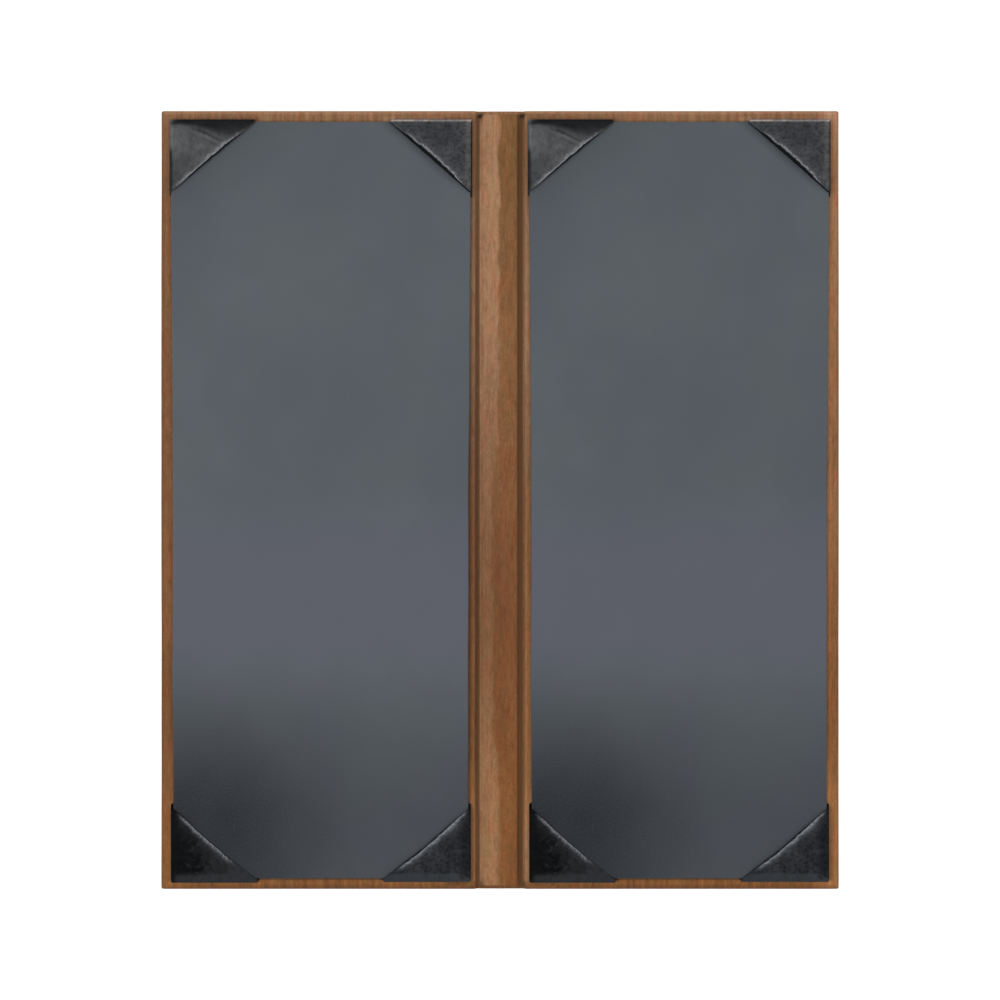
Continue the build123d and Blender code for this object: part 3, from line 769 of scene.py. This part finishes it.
# ============================================================ covered panel
def lining(name, front):
    """Thin sheet round the panel board, its face slightly uneven and its sides drawn in
    between the pockets."""
    rim_r = 0.42
    D = np.array([12.0, 10.5, 9.0, 7.5, 6.0, 4.8, 3.7, 2.8, 2.0, 1.3, 0.9])
    hx, hy, rc = LINING_X, LINING_Y, 0.9
    xs = np.concatenate([-(hx - D)[::-1], np.linspace(-(hx - 12), hx - 12, 43)[1:-1], hx - D])
    ys = np.concatenate([-(hy - D)[::-1], np.linspace(-(hy - 12), hy - 12, 115)[1:-1], hy - D])
    rows = []                     # d, z outer; d, z inner; masks
    inner_top, inner_low = Z_PANEL_FACE, Z_PANEL_BOARD
    for d in D:
        rows.append((d, Z_LINING, d, inner_top, 0.0))
    # the mask marks the rounded rim and the sides for painted shade
    for a in np.radians(np.linspace(0, 90, 7)):
        d = rim_r - rim_r * math.sin(a)
        rows.append((d, Z_LINING - rim_r + rim_r * math.cos(a), max(d, LINING_T), inner_top, float(smooth(0.1, 1.3, a))))
    for t in (0.3, 0.6):
        z = Z_LINING - rim_r + (3.35 + 0.2 - Z_LINING + rim_r) * t
        rows.append((0.0, z, LINING_T, inner_top + (inner_low - inner_top) * t, 1.0))
    for a in np.radians(np.linspace(0, 90, 4)):
        d = 0.2 - 0.2 * math.cos(a)
        rows.append((d, 3.35 + 0.2 - 0.2 * math.sin(a), max(d, LINING_T), inner_low, 1.0))
    for d in D[::-1]:
        rows.append((d, 3.35, max(d, LINING_T), inner_low, 0.5))
    rows = np.array(rows)
    length = np.concatenate([[0], np.cumsum(np.hypot(np.diff(rows[:, 0]), np.diff(rows[:, 1])))])
    arc = np.radians(np.linspace(90, 0, 7))[1:-1]
    st = [("y", x, 1) for x in xs] + [("c", a, (1, 1)) for a in arc] + [("x", y, 1) for y in ys[::-1]]
    st += [("c", a, (1, -1)) for a in arc[::-1]] + [("y", x, -1) for x in xs[::-1]] + [("c", a, (-1, -1)) for a in arc]
    st += [("x", y, -1) for y in ys] + [("c", a, (-1, 1)) for a in arc[::-1]]
    P, I, S, M = [], [], [], []
    for kind, u, s in st:
        out, inn, flat = [], [], []
        for (d, z, di, zi, _), run in zip(rows, length):
            reach = run - D[0]
            for dd, zz, to in ((d, z, out), (di, zi, inn)):
                if kind == "y":
                    to.append((np.sign(u) * min(abs(u), hx - max(dd, rc)), s * (hy - dd), zz))
                elif kind == "x":
                    to.append((s * (hx - dd), np.sign(u) * min(abs(u), hy - max(dd, rc)), zz))
                elif dd < rc:
                    to.append((s[0] * (hx - rc + math.cos(u) * (rc - dd)), s[1] * (hy - rc + math.sin(u) * (rc - dd)), zz))
                else:
                    to.append((s[0] * (hx - dd), s[1] * (hy - dd), zz))
            px, py, _ = out[-1]
            if kind == "y":
                flat.append((px, s * (hy + reach), 0))
            elif kind == "x":
                flat.append((s * (hx + reach), py, 0))
            else:
                flat.append((s[0] * (hx + math.cos(u) * reach), s[1] * (hy + math.sin(u) * reach), 0) if reach > -rc else (px, py, 0))
        P.append(out), I.append(inn), S.append(flat)
        M.append([(m, 0, 0, 0) for m in rows[:, 4]])
    P, I, S, M = (np.array(a, float) for a in (P, I, S, M))
    shape = Shape()
    shape.grid(P, S, M, closed=True)
    shape.grid(I, S, flip=True, closed=True)
    ring = lambda A: np.concatenate([A, A[:1]])
    shape.strip(ring(P[:, -1]), ring(I[:, -1]), ring(S[:, -1]), ring(S[:, -1]))
    gx = np.unique(np.round(np.clip(xs, -(hx - D[0]), hx - D[0]), 6))
    gy = np.unique(np.round(np.clip(ys, -(hy - D[0]), hy - D[0]), 6))
    X, Y = np.meshgrid(gx, gy, indexing="ij")
    flat = np.stack([X, Y, X * 0], -1)
    shape.grid(np.stack([X, Y, X * 0 + Z_LINING], -1), flat)
    shape.grid(np.stack([X, Y, X * 0 + inner_top], -1), flat, flip=True)

    def warp(Q):
        x, y, z = Q[:, 0].copy(), Q[:, 1].copy(), Q[:, 2].copy()
        left = np.interp(y, *np.array([(-141, 0.0), (-112, -0.10), (-98, -0.12), (-82, 0.03), (-64, 0.27), (-48, 0.14), (-36, 0.02), (5, 0.03), (40, 0.24), (70, 0.46), (96, 0.64), (109, 0.80), (116, 0.60), (141, 0.45)]).T)
        right = np.interp(y, *np.array([(-141, 0.0), (-107, -0.18), (-80, -0.28), (-52, -0.20), (-35, 0.0), (-12, 0.04), (2, -0.08), (14, 0.02), (28, 0.28), (60, 0.42), (90, 0.62), (109, 0.84), (116, 0.60), (141, 0.45)]).T)
        # it can't draw in past the board inside it
        bow = np.maximum(np.where(x < 0, left, right), -0.09) + 0.04 * noise(y * 0.11, np.sign(x) * 3.0, 8)
        side = smooth(hx - 8, hx, np.abs(x))
        x += np.sign(x) * bow * side
        nx = np.abs(x) / hx
        bow_y = 0.28 * smooth(0.25, 0.80, nx) + 0.05 * noise(x * 0.06, np.sign(y) * 5.0, 9)
        y += np.sign(y) * bow_y * smooth(hy - 8, hy, np.abs(y))
        face = z > Z_LINING - 0.02
        swell = 0.055 * fractal(x * 0.022, y * 0.018, 40) + 0.012 * fractal(x * 0.11, y * 0.09, 41, 2)
        inside = smooth(0.3, 5.0, hx - np.abs(x)) * smooth(0.3, 5.0, hy - np.abs(y))
        z += np.where(face, swell * inside, 0)
        return np.stack([x + (-PANEL_X if front else PANEL_X), y, z], 1)

    return shape.build(name, lining_material, warp=warp)


# ============================================================ corner pockets
POCKETS = {
    # outer walls' distances from the panel's middle, the flap's two legs, gape at the middle
    # of its fold, puff of its body, wrinkles, roundness of its rim, the fold's lip, which carries
    # painted shade, how far the fold runs on down the side wall, and the radius of the wrapped corner
    "top_left": dict(sx=-1, sy=1, hx=56.25, hy=141.5, leg=(33.2, 28.0), gape=0.95, puff=0.30, wrinkle=0.20, roll=0.90, lip=0.40, run=0.085, corner=0.55),
    "top_right": dict(sx=1, sy=1, hx=56.25, hy=141.5, leg=(32.3, 28.0), gape=1.15, puff=0.12, wrinkle=0.05, roll=0.50, lip=1.22, run=0.085, corner=0.50),
    "bottom_left": dict(sx=-1, sy=-1, hx=55.75, hy=142.3, leg=(33.6, 28.5), gape=0.34, puff=0.25, wrinkle=0.07, roll=0.7, lip=0.0, run=0.085, corner=0.70),
    "bottom_right": dict(sx=1, sy=-1, hx=55.75, hy=142.0, leg=(34.2, 28.2), gape=0.60, puff=0.22, wrinkle=0.06, roll=0.7, lip=0.56, run=0.085, corner=0.60),
}


def pocket(place, front, seed):
    c = POCKETS[place]
    half = POCKET_T / 2
    LEG_X, LEG_Y = c["leg"]
    r_out = c["corner"]
    n_leg, n_arc = 46, 9
    # the outer wall's path, from the end of the X leg round the corner to the end of the Y leg
    ease = np.linspace(0, 1, n_leg)
    leg = 1 - ease**1.25
    path = [((r_out + (LEG_X - r_out) * t), 0.0, 0.0, 1.0) for t in leg[:-1]]
    for a in np.radians(np.linspace(0, 90, n_arc)):
        path.append((r_out - r_out * math.sin(a), r_out - r_out * math.cos(a), math.sin(a), math.cos(a)))
    path += [(0.0, (r_out + (LEG_Y - r_out) * t), 1.0, 0.0) for t in leg[:-1][::-1]]
    path = np.array(path)
    run = np.concatenate([[0], np.cumsum(np.hypot(*np.diff(path[:, :2], axis=0).T))])
    mid = (run[n_leg - 1] + run[n_leg - 1 + n_arc - 1]) / 2
    s = np.where(run < mid, run / mid * 0.5, 0.5 + (run - mid) / (run[-1] - mid) * 0.5)
    A = path[:, :2]
    B = np.stack([LEG_X * (1 - s), LEG_Y * s], 1)
    # the fold isn't ruled straight
    normal = np.array([LEG_Y, LEG_X]) / math.hypot(LEG_X, LEG_Y)
    bow = 0.11 * noise(s * 5.0, s * 0 + seed, seed) + 0.06 * noise(s * 14.0, s * 0 + seed, seed + 1) + 0.05 * noise(s * 33.0, s * 0 + seed, seed + 2)
    # the lower pockets' folds draw in a little along the way
    drawn = {"bottom_left": [(0, 0), (0.1, -0.10), (0.25, -0.45), (0.4, -0.70), (0.55, -0.55), (0.7, -0.50), (0.85, -0.08), (1, 0)], "bottom_right": [(0, 0), (0.3, -0.12), (0.45, -0.42), (0.6, -0.22), (0.75, 0), (1, 0)]}
    if place in drawn:
        bow = bow + np.interp(s, *np.array(drawn[place], float).T)
    B = B + normal * bow[:, None]
    span = np.hypot(*(B - A).T)
    ok = span > 1.3
    A, B, s, span, path = A[ok], B[ok], s[ok], span[ok], path[ok]
    way = (B - A) / span[:, None]
    arch = np.sin(np.pi * np.clip(s, 0, 1))

    z_base = 5.72                    # middle of the flap's sheet beside the wall
    rt = c["roll"]                   # rounding between wall and flap
    z_tab, r_low = 3.17, 0.30
    rows = []                        # arrays: distance along the way from A, height, fraction down the wall, masks
    n = len(s)
    one = np.ones(n)

    def flap_z(t):
        """Height of the flap's middle sheet at share t of the way from wall to fold."""
        q = A + way * (t * span)[:, None]
        body = c["puff"] * arch * np.sin(np.pi * np.clip(t, 0, 1)) ** 0.9
        open_ = c["gape"] * arch**0.8 * t**1.7
        w = c["wrinkle"]
        u, v = q[:, 0], q[:, 1]
        inside = smooth(0.08, 0.3, t) * smooth(0, 0.16, s) * smooth(0, 0.16, 1 - s) * (1 - 0.6 * smooth(0.82, 1.0, t))
        bend = v - 3.4 - 0.45 * (u - 9.3) - 0.012 * (u - 14) ** 2
        ridge = np.exp(-(((bend - 1.2) / 0.8) ** 2)) * smooth(6, 11, u) * (1 - smooth(18, 24, u))
        ridge += 0.6 * np.exp(-(((bend - 3.4) / 0.7) ** 2)) * smooth(11, 14, u) * (1 - smooth(16, 21, u))
        ridge -= 1.1 * np.exp(-((bend / 0.55) ** 2)) * smooth(6, 10, u) * (1 - smooth(18, 23, u))
        rough = 0.5 * fractal(u * 0.22 + seed, v * 0.30, seed, 3)
        lump = 0.45 * noise(u * 0.12 + seed, v * 0.12, seed + 3)
        return z_base + body + open_ + w * inside * (ridge + rough) + (0.05 + 0.5 * w) * inside * lump

    far = np.minimum(12.0, 0.9 * span)
    for t in (1.0, 0.97, 0.75, 0.5, 0.25, 0.1):
        rows.append((0.2 + r_low + (far - 0.2 - r_low) * t, z_tab * one, 1.0, (0, 0, 0)))
    # painted shade on the rounding at the wall's foot, up the wall and round the roll to the flap
    for a in np.radians((0, 30, 60, 90)):
        rows.append(((half + r_low - r_low * math.sin(a)) * one, (z_tab + r_low - r_low * math.cos(a)) * one, 1.0, (0, 0.4, 0)))
    top_r = np.minimum(rt, 0.35 * span)
    z_edge = flap_z(np.minimum(0.25, (half + top_r) / span))
    for t in (0.15, 0.35, 0.55, 0.75, 0.9):
        z = z_tab + r_low + (z_edge - top_r * 0.85 - z_tab - r_low) * t
        rows.append((half * one, z, 1 - t, (0, 0.6, 0)))
    for a in np.radians(np.linspace(0, 90, 9)):
        rows.append((half + top_r - top_r * math.cos(a), z_edge - 0.85 * top_r * (1 - math.sin(a)), 0.0, ("edge", math.sin(a))))
    t0 = (half + top_r) / span
    fold_r = 0.27
    jag = 0.75 * noise(s * 17, s * 0 + seed, seed + 6) * (0.35 + np.abs(noise(s * 5.3, s * 0 + seed, seed + 8))) + 0.45 * noise(s * 47, s * 0 + seed, seed + 7)
    taper = smooth(0.04, 0.42, s) * (1 - smooth(0.62, 0.97, s))
    skew = 1.45 - s if place == "bottom_right" else one
    # the lip: a sloping flange past the crest, carrying the painted shade line below the fold
    slope = c["lip"] * skew * (0.12 + 0.88 * taper) * (1 + 0.35 * jag) + 1e-4
    fall = np.minimum(0.85 * slope, 0.55 * c["gape"] * arch**0.8)
    tilt = np.arctan2(fall, slope)
    reach = fold_r + half
    t_end = (span - reach - slope) / span
    for t in np.linspace(0, 1, 40)[1:]:
        tt = t0 + (t_end - t0) * t
        rows.append((tt * span, flap_z(tt), 0.0, ("flap", t)))
    z_crest = rows[-1][1]
    for t in (0.12, 0.3, 0.6, 0.9):
        bend = np.clip((t - 0.06) / 0.94, 0, 1)
        rows.append((t_end * span + slope * t, z_crest - fall * bend, 0.0, ("lip", t)))
    d_lip, z_fold = rows[-1][0] + fold_r * np.sin(tilt) * 0.2, rows[-1][1]
    for share in np.linspace(0, 1, 13)[1:]:
        a = tilt + (math.pi - tilt) * share
        d = d_lip + fold_r * (np.sin(a) - np.sin(tilt))
        z = z_fold - fold_r * (np.cos(tilt) - np.cos(a))
        rows.append((d, z, 0.0, ("fold", share)))
    hem = np.minimum(6.0, 0.55 * span)
    d_hem, z_hem = rows[-1][0], rows[-1][1]
    # painted shade on the hem under the fold
    for t in (0.12, 0.3, 0.5, 0.7, 0.85, 0.96, 1.0):
        d = d_hem - hem * t
        z = np.maximum(z_hem, 5.17)
        over = flap_z(np.clip(d / span, 0.05, 1.0)) - 2 * fold_r
        z = z * (1 - t) + np.maximum(np.minimum(over, z + 0.1), 5.17) * t
        rows.append((d, z, 0.0, (0, 0.5, 0)))

    m = len(rows)
    C = np.zeros((n, m, 3))
    M = np.zeros((n, m, 4))
    lipped = float(c["lip"] > 0.1)
    for j, (d, z, down, mask) in enumerate(rows):
        # below the panel's face the fold runs on round the edge, so the ends slant outwards
        q = A * np.array([1 + 0.012 * down, 1 + c["run"] * down]) + way * (d if np.ndim(d) else d * one)[:, None]
        C[:, j, 0], C[:, j, 1], C[:, j, 2] = q[:, 0], q[:, 1], z
        # the roll from wall to flap: painted shade, most at the wall
        if mask[0] == "edge":
            a = mask[1]
            M[:, j, 1] = 0.6 * (1 - a)
        # the lip: painted highlight where it leaves the crest, then painted shade down it
        elif mask[0] == "lip":
            M[:, j, 0] = max(0.0, 0.75 - 4.0 * mask[1]) if lipped else 1.0
            M[:, j, 1] = min(1.0, 0.4 + 3.0 * mask[1]) * lipped
        # the fold: painted highlight over the top of an unlipped fold and painted shade beneath it; a lipped fold is
        # all painted shade
        elif mask[0] == "fold":
            a = mask[1]
            M[:, j, 0] = 0.0 if lipped else math.exp(-((max(0.0, a - 0.30) / 0.14) ** 2))
            M[:, j, 1] = max(lipped, float(smooth(0.50, 0.64, a)))
        # the flap: painted highlight at the crest, with a painted glow inwards
        elif mask[0] == "flap":
            near = (1 - mask[1]) * (t_end - t0) * span          # millimetres from the crest
            wide = {"top_left": 0.60, "top_right": 0.44, "bottom_left": 0.70, "bottom_right": 0.62}[place] * (1 + 0.55 * jag)
            M[:, j, 0] = np.exp(-((near / wide) ** 2)) * (0.9 + 0.3 * jag) + 0.20 * np.exp(-near / 1.7)
        else:
            M[:, j, :3] = mask
    u, v = C[..., 0], C[..., 1]
    down = C[..., 2] < 5.0
    kinds = [r[3][0] for r in rows]
    flapped = np.array([k in ("flap", "edge") for k in kinds])[None, :] & ~down
    rolled = np.array([k == "edge" for k in kinds])[None, :] & ~down
    on_side, on_end = path[:, [2]] ** 2, path[:, [3]] ** 2
    lengthwise = np.clip(s, 0, 1)[:, None]
    across = u / LEG_X + v / LEG_Y                               # 1 on the fold
    if place == "top_left":
        # painted shade: black along the head side, in the creases, low by the left wall and over the lower part;
        # painted highlight: paler at the corner, down the left and on the wrinkle's ridge
        full = 0.9 + 0.050 * u + 0.5 * noise(u * 0.25, u * 0, 5)
        dark = 1 - smooth(full, full + 1.3 + 0.11 * u + 0.45 * np.maximum(0, u - 10), v)
        dark = dark * smooth(0.2, 3.0, u + 0.8 * v) * (0.94 + 0.06 * noise(u * 0.3, v * 0.3, 14))
        bend = v - 3.4 - 0.45 * (u - 9.3) - 0.012 * (u - 14) ** 2
        crease = np.exp(-((bend / 0.60) ** 2)) * smooth(6, 11, u) * (1 - smooth(18, 23, u)) * 0.55
        crease = crease + 0.35 * np.exp(-(((bend - 2.3) / 0.5) ** 2)) * smooth(10, 14, u) * (1 - smooth(16, 21, u))
        low = np.maximum(smooth(9, 20, v) * (1 - smooth(0.7, 2.4, u)) * 0.75, 0.38 * smooth(10, 22, v))
        M[..., 1] = np.maximum(M[..., 1], np.where(flapped, np.clip(dark + crease + low, 0, 1), 0))
        corner = (1 - smooth(0, 8, np.hypot(u - 2, v - 5))) * 0.15
        strip = np.exp(-(((u - 1.0) / 0.36) ** 2)) * smooth(2.0, 4.0, v) * (1 - smooth(9, 15, v)) * 0.55
        M[..., 1] = np.where(rolled, np.maximum(M[..., 1], 0.85 * on_side * smooth(8.0, 13.0, v)), M[..., 1])
        M[..., 1] = np.where(rolled, np.maximum(M[..., 1], on_end * smooth(1.5, 4.0, u)), M[..., 1])
        ridge = np.exp(-(((bend - 1.1) / 0.5) ** 2)) * smooth(8, 12, u) * (1 - smooth(15, 20, u)) * 0.20
        M[..., 2] = np.where(flapped, corner + strip + ridge, 0)
        along = smooth(0.08, 0.40, lengthwise) * (1 - smooth(0.80, 0.96, lengthwise))
        lip_shade = 0.40 + 0.60 * smooth(0.12, 0.30, lengthwise) * (1 - smooth(0.72, 0.92, lengthwise))
    elif place == "top_right":
        # painted highlight along the head side and a little down the right; faint dark mottling; painted shade on the
        # right wall's roll
        top = np.exp(-(((v - 0.50) / 0.31) ** 2)) * (0.55 + 0.45 * smooth(0.0, 0.6, noise(u * 0.35, u * 0, 4) + 0.6 * smooth(14, 26, u)))
        side = 0.115 * np.exp(-(((u - 1.6) / 1.2) ** 2)) + 0.07 * (1 - smooth(0, 6, np.hypot(u, v)))
        M[..., 2] = np.where(flapped, np.clip(1.15 * top + side, 0, 1), 0)
        M[..., 1] = np.maximum(M[..., 1], np.where(flapped, 0.25 * np.clip(noise(u * 0.35, v * 0.35, 9), 0, 1), 0))
        M[..., 1] = np.where(rolled, np.maximum(M[..., 1], 0.95 * on_side * (1 - smooth(0.30, 0.55, u))), M[..., 1])
        M[..., 1] = np.where(rolled & (on_end > 0.5), 0.0, M[..., 1])
        along = smooth(0.17, 0.34, lengthwise) * (1 - smooth(0.78, 0.92, lengthwise))
        lip_shade = 0.80 + 0.20 * smooth(0.05, 0.25, lengthwise)
    elif place == "bottom_left":
        # paler along the lower edge and towards the right tip; over the fold at that tip this is painted light where
        # its shade falls
        paler_share = 0.9 * (1 - smooth(2.0, 4.2, v)) * smooth(0.6, 3, u) + 0.42 * smooth(9, 16, u) + 0.5 * smooth(18, 24, u)
        hem = np.array([k in ("flap", "edge", "fold") for k in kinds])[None, :] & ~down
        M[..., 2] = np.where(flapped | (hem & (lengthwise < 0.34)), np.clip(paler_share, 0, 1), 0)
        M[..., 1] = np.maximum(M[..., 1], np.where(flapped, 0.85 * (1 - smooth(1.5, 11.0, u)) * smooth(1.5, 4.0, v), 0))
        # s runs from the tip on the tail side to the tip on the fore side
        along = smooth(0.24, 0.42, lengthwise) * (1 - smooth(0.80, 0.94, lengthwise))
        lip_shade = 0.20 * smooth(0.26, 0.44, lengthwise)
    else:
        # painted sheen beside the fold; a paler low band; darker near the right wall
        sheen = smooth(0.82, 1.04, across) * smooth(0.18, 0.40, lengthwise) * (1 - smooth(0.70, 0.92, lengthwise))
        low = (0.165 + 0.06 * smooth(17, 26, u)) * (1 - smooth(2.6, 3.8, v)) * np.maximum(smooth(3.0, 4.8, u), 1 - smooth(0.6, 1.4, v))
        M[..., 2] = np.where(flapped, np.clip(0.85 * sheen + low, 0, 1), 0)
        M[..., 1] = np.maximum(M[..., 1], np.where(flapped, 0.60 * (1 - smooth(2.2, 5.2, u)) * smooth(0.5, 4.0, v), 0))
        along = smooth(0.14, 0.32, lengthwise) * (1 - smooth(0.86, 0.97, lengthwise))
        lip_shade = 0.10 * smooth(0.16, 0.32, lengthwise)
    M[..., 0] *= along
    # painted highlight on the fold's outer face at the tail's tip, where its shade falls
    if place == "bottom_left":
        folded = np.array([k == "fold" for k in kinds])[None, :]
        M[..., 0] = np.where(folded, np.maximum(M[..., 0], 0.22 * (1 - smooth(0.28, 0.44, lengthwise))), M[..., 0])
    # the painted shade on the lip and the fold, scaled along the fold
    under = np.array([k in ("lip", "fold") for k in kinds])[None, :]
    M[..., 1] = np.where(under, M[..., 1] * lip_shade, M[..., 1])
    M = np.clip(M, 0, 1)

    # the sheet's two faces, either side of its middle
    du, dv = np.gradient(C, axis=0), np.gradient(C, axis=1)
    N = np.cross(du, dv)
    N /= np.maximum(np.linalg.norm(N, axis=2, keepdims=True), 1e-9)
    if N[n // 2, -30, 2] < 0:
        N = -N
    outer, inside = C + N * half, C - N * half
    length = np.concatenate([np.zeros((n, 1)), np.cumsum(np.linalg.norm(np.diff(C, axis=1), axis=2), axis=1)], axis=1)
    wall = length[:, [12]]
    flat = np.zeros_like(C)
    flat[..., :2] = A[:, None, :] + way[:, None, :] * (length - wall)[..., None]

    def place_in(Q):
        x = c["sx"] * (c["hx"] - Q[..., 0]) + (-PANEL_X if front else PANEL_X)
        y = c["sy"] * (c["hy"] - Q[..., 1])
        return np.stack([x, y, Q[..., 2]], -1)

    turn = c["sx"] * c["sy"] < 0
    outer, inside = place_in(outer), place_in(inside)
    shape = Shape()
    shape.grid(outer, flat, M, flip=turn)
    shape.grid(inside, flat, M * [0, 1, 0, 0], flip=not turn)
    shape.strip(outer[:, 0], inside[:, 0], flat[:, 0], flat[:, 0], M[:, 0], flip=not turn)
    shape.strip(outer[:, -1], inside[:, -1], flat[:, -1], flat[:, -1], M[:, -1], flip=turn)
    shape.strip(outer[0], inside[0], flat[0], flat[0], M[0] * [0, 1, 1, 1], flip=turn)
    shape.strip(outer[-1], inside[-1], flat[-1], flat[-1], M[-1] * [0, 1, 1, 1], flip=not turn)
    side = "front" if front else "back"
    return shape.build(f"{side}_{place}_corner_pocket", pocket_materials[place], angle=60)


# ============================================================ put the pieces on their bodies
def closed_outward(o):
    """Turns the faces to point outwards, and prints the count of open edges, the half area and the volume."""
    import bmesh

    b = bmesh.new()
    b.from_mesh(o.data)
    bmesh.ops.recalc_face_normals(b, faces=b.faces)
    open_edges = sum(1 for e in b.edges if len(e.link_faces) != 2)
    area = sum(f.calc_area() for f in b.faces)
    volume = b.calc_volume()
    b.to_mesh(o.data)
    b.free()
    print(f"PIECE {o.name} faces {len(o.data.polygons)} open {open_edges} half area {area * 5e5:.0f} mm2 volume {volume * 1e9:.0f} mm3")


for front in (True, False):
    side = "front" if front else "back"

    wrap = outer_wrap(f"{side}_outer_wrap", front)
    closed_outward(wrap)
    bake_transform(wrap)
    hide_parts(f"{side}_cover_wrap", f"{side}_hinge_fold", "spine_outer_wrap")

    strip = hinge_strip(f"{side}_hinge_strip", front)
    closed_outward(strip)
    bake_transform(strip)
    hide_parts(f"{side}_hinge_strip_wing", "spine_lining_strip")

    sheet = lining(f"{side}_panel_covering", front)
    closed_outward(sheet)
    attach(sheet, f"{side}_cover")
    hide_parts(f"{side}_panel_lining")

    for i, place in enumerate(POCKETS):
        piece = pocket(place, front, 3 + 5 * i)
        closed_outward(piece)
        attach(piece, f"{side}_cover")
        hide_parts(f"{side}_pocket_{place}")


# ============================================================ floor, light and camera
def floor_mesh():
    """A wide floor with a pit under the spine, where the covers swing down."""
    far, sx, sy, level, deep = 6.0, 0.0132, 0.1448, -0.00002, -0.125
    xs, ys = [-far, -sx, sx, far], [-far, -sy, sy, far]
    verts = [(x, y, level) for x in xs for y in ys]
    faces = [(i * 4 + j, (i + 1) * 4 + j, (i + 1) * 4 + j + 1, i * 4 + j + 1) for i in range(3) for j in range(3) if (i, j) != (1, 1)]
    rim = [5, 9, 10, 6]
    verts += [(verts[i][0], verts[i][1], deep) for i in rim]
    faces += [(rim[a], rim[(a + 1) % 4], 16 + (a + 1) % 4, 16 + a) for a in range(4)] + [(16, 17, 18, 19)]
    m = bpy.data.meshes.new("floor")
    m.from_pydata(verts, [], faces)
    return m


floor = bpy.data.objects.new("floor", floor_mesh())
bpy.context.scene.collection.objects.link(floor)
f = Nodes("floor_paper")
f.set(Base_Color=(0.93, 0.93, 0.93, 1), Roughness=0.9)
f.shader.inputs["Specular IOR Level"].default_value = 0.0
f.shader.inputs["Emission Color"].default_value = (1, 1, 1, 1)
f.shader.inputs["Emission Strength"].default_value = 0.60
floor.data.materials.append(f.material)

world = bpy.data.worlds.new("studio")
bpy.context.scene.world = world
world.use_nodes = True
wt = world.node_tree
for n in list(wt.nodes):
    wt.nodes.remove(n)
coords, split = wt.nodes.new("ShaderNodeTexCoord"), wt.nodes.new("ShaderNodeSeparateXYZ")
up = wt.nodes.new("ShaderNodeMapRange")
up.interpolation_type = "SMOOTHSTEP"
up.inputs["From Min"].default_value, up.inputs["From Max"].default_value = 0.88, 0.985
up.inputs["To Min"].default_value, up.inputs["To Max"].default_value = 0.78, 0.22
back, out = wt.nodes.new("ShaderNodeBackground"), wt.nodes.new("ShaderNodeOutputWorld")
back.inputs["Color"].default_value = (1.0, 1.0, 1.0, 1)
wt.links.new(coords.outputs["Generated"], split.inputs[0])
wt.links.new(split.outputs["Z"], up.inputs["Value"])
wt.links.new(up.outputs["Result"], back.inputs["Strength"])
wt.links.new(back.outputs[0], out.inputs[0])


def softbox(name, place, size, power, target=(0, 0, 0)):
    l = bpy.data.lights.new(name, "AREA")
    l.shape, l.size, l.size_y, l.energy = "RECTANGLE", size[0], size[1], power
    o = bpy.data.objects.new(name, l)
    o.location = place
    o.rotation_mode = "QUATERNION"
    o.rotation_quaternion = (Vector(target) - Vector(place)).to_track_quat("-Z", "Y")
    bpy.context.scene.collection.objects.link(o)
    return o


softbox("key", (-1.05, -0.35, 1.90), (1.1, 1.1), 19.0)
softbox("fill", (1.0, 1.3, 1.6), (1.6, 1.6), 5.0)

SCALE = 0.3725                         # millimetres to a pixel of a 1000-pixel frame
camera = bpy.data.objects.new("camera", bpy.data.cameras.new("camera"))
bpy.context.scene.collection.objects.link(camera)
camera.data.lens, camera.data.sensor_width = 135.0, 36.0
camera.location = (0, 0, (SCALE * 135.0 / 36.0 * 1000 + Z_INSIDE) * 0.001)
camera.rotation_euler = (0, 0, 0)
camera.data.clip_start, camera.data.clip_end = 0.05, 30.0
camera.data.dof.use_dof = False
bpy.context.scene.camera = camera
bpy.context.scene.view_settings.view_transform = "Standard"
bpy.context.scene.view_settings.look = "None"
bpy.context.scene.view_settings.exposure = 0.0
bpy.context.scene.view_settings.gamma = 1.0
